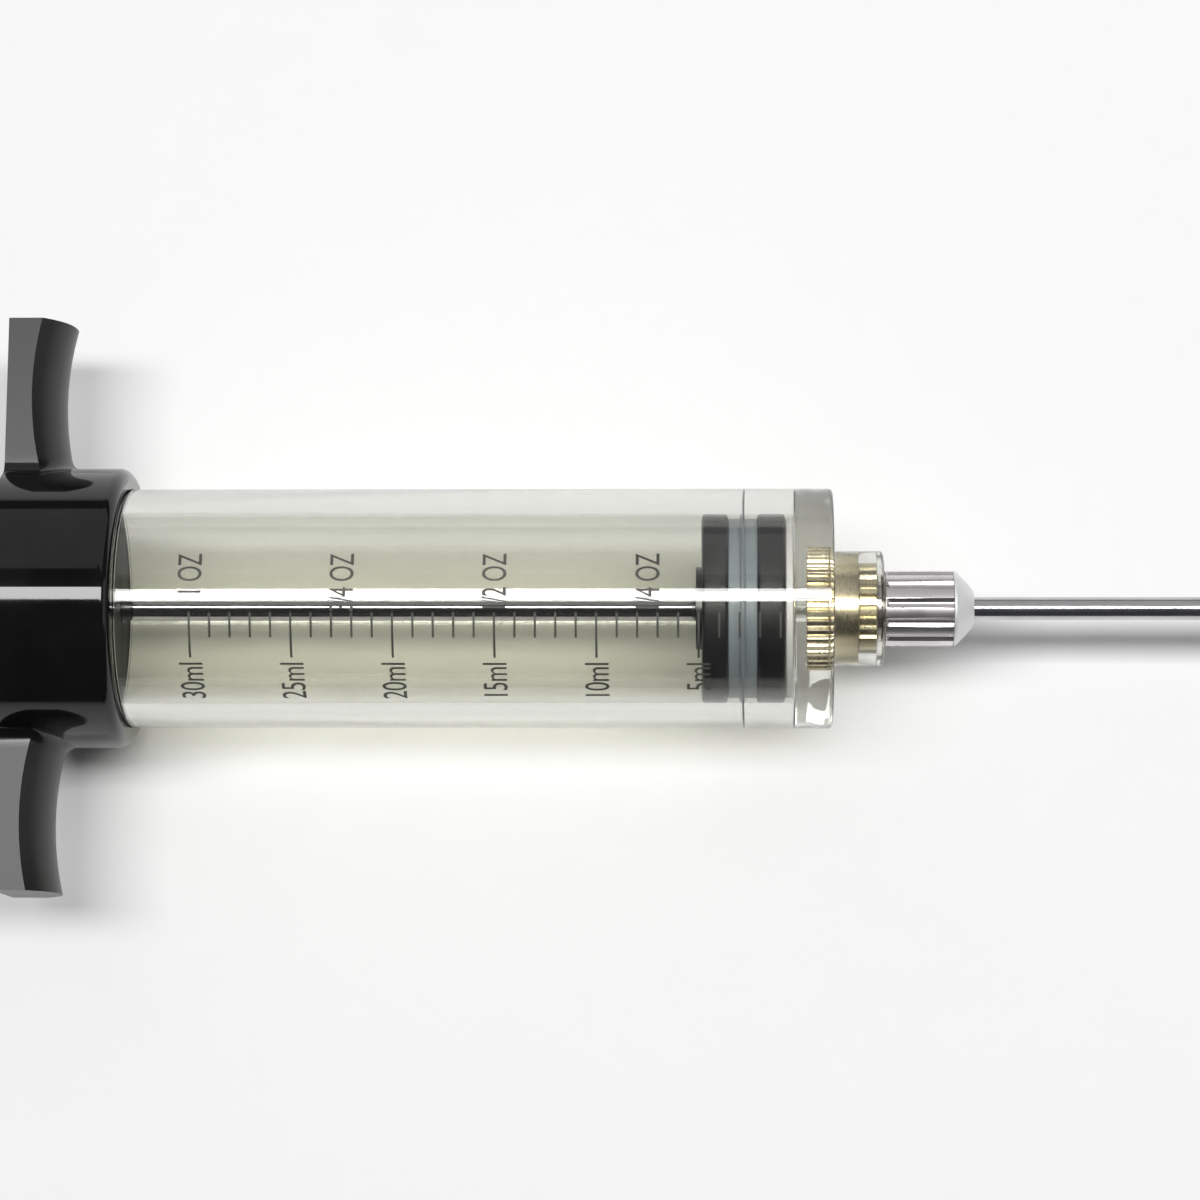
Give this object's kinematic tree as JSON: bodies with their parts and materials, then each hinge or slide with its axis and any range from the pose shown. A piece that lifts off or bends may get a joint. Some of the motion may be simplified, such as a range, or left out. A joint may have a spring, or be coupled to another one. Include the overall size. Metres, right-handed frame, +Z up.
{
  "type": "meat injector",
  "caption": "Hand syringe for injecting marinade: clear barrel, sealed piston on a rod with thumb pad, finger-wing collar and screw-on luer-lock needle.",
  "frame": {"origin": "on the barrel's axis at the outer face of its front wall", "axes": "+X along the barrel towards the needle tip, +Y along one finger wing, +Z up with the injector lying flat"},
  "size_m": [0.2212, 0.0696, 0.034],
  "materials": {
    "clear_polycarbonate": "clear, polished, very slightly grey-green",
    "brass": "turned brass, light gold",
    "black_rubber": "matt black nitrile rubber",
    "satin_aluminium": "satin light alloy",
    "stainless_tube": "drawn stainless steel, bright",
    "frosted_plastic": "translucent blue-white plastic",
    "dark_steel": "dark plated steel",
    "chromed_rod": "polished, chromed",
    "plated_nut": "nickel plated",
    "black_nylon": "satin black moulded plastic",
    "glossy_black_nylon": "glossy black moulded plastic"
  },
  "bodies": {
    "barrel": {"barrel": "clear_polycarbonate", "luer_insert": "brass"},
    "piston": {"piston_front_plate": "frosted_plastic", "piston_seal_front": "black_rubber", "piston_spacer": "frosted_plastic", "piston_seal_rear": "black_rubber", "piston_rear_plate": "dark_steel"},
    "plunger": {"plunger_rod": "chromed_rod", "piston_nut": "plated_nut", "handle_lock_nut": "plated_nut", "thumb_handle": "glossy_black_nylon", "handle_insert": "brass"},
    "needle_seal": {"needle_washer": "black_rubber"},
    "needle": {"needle_hub": "satin_aluminium", "needle_tube": "stainless_tube"},
    "rear_closure": {"rear_plug": "black_nylon", "plug_o_ring": "black_rubber", "barrel_gasket": "black_rubber", "rod_seal": "black_rubber", "rod_bush": "brass"},
    "grip": {"grip_collar": "glossy_black_nylon"}
  },
  "joints": [
    {"name": "plunger_slide", "type": "slide", "parent": "barrel", "child": "piston", "axis": [-1, 0, 0], "range_m": [0, 0.0686]},
    {"name": "plunger_spin", "type": "hinge", "parent": "piston", "child": "plunger", "pos_m": [-0.06, 0, 0], "axis": [1, 0, 0], "continuous": true},
    {"name": "needle_out", "type": "slide", "parent": "barrel", "child": "needle_seal", "axis": [1, 0, 0], "range_m": [0, 0.005]},
    {"name": "needle_twist", "type": "hinge", "parent": "needle_seal", "child": "needle", "pos_m": [0.01, 0, 0], "axis": [1, 0, 0], "range_deg": [0, 360]},
    {"name": "collar_out", "type": "slide", "parent": "barrel", "child": "rear_closure", "axis": [-1, 0, 0], "range_m": [0, 0.0075]},
    {"name": "collar_twist", "type": "hinge", "parent": "rear_closure", "child": "grip", "pos_m": [-0.092, 0, 0], "axis": [-1, 0, 0], "range_deg": [0, 1080]}
  ],
  "couplings": [
    {"joint": "needle_twist", "follows": "needle_out", "rad_per_m": 1256.5},
    {"joint": "collar_out", "follows": "collar_twist", "m_per_rad": 0.00039785}
  ]
}
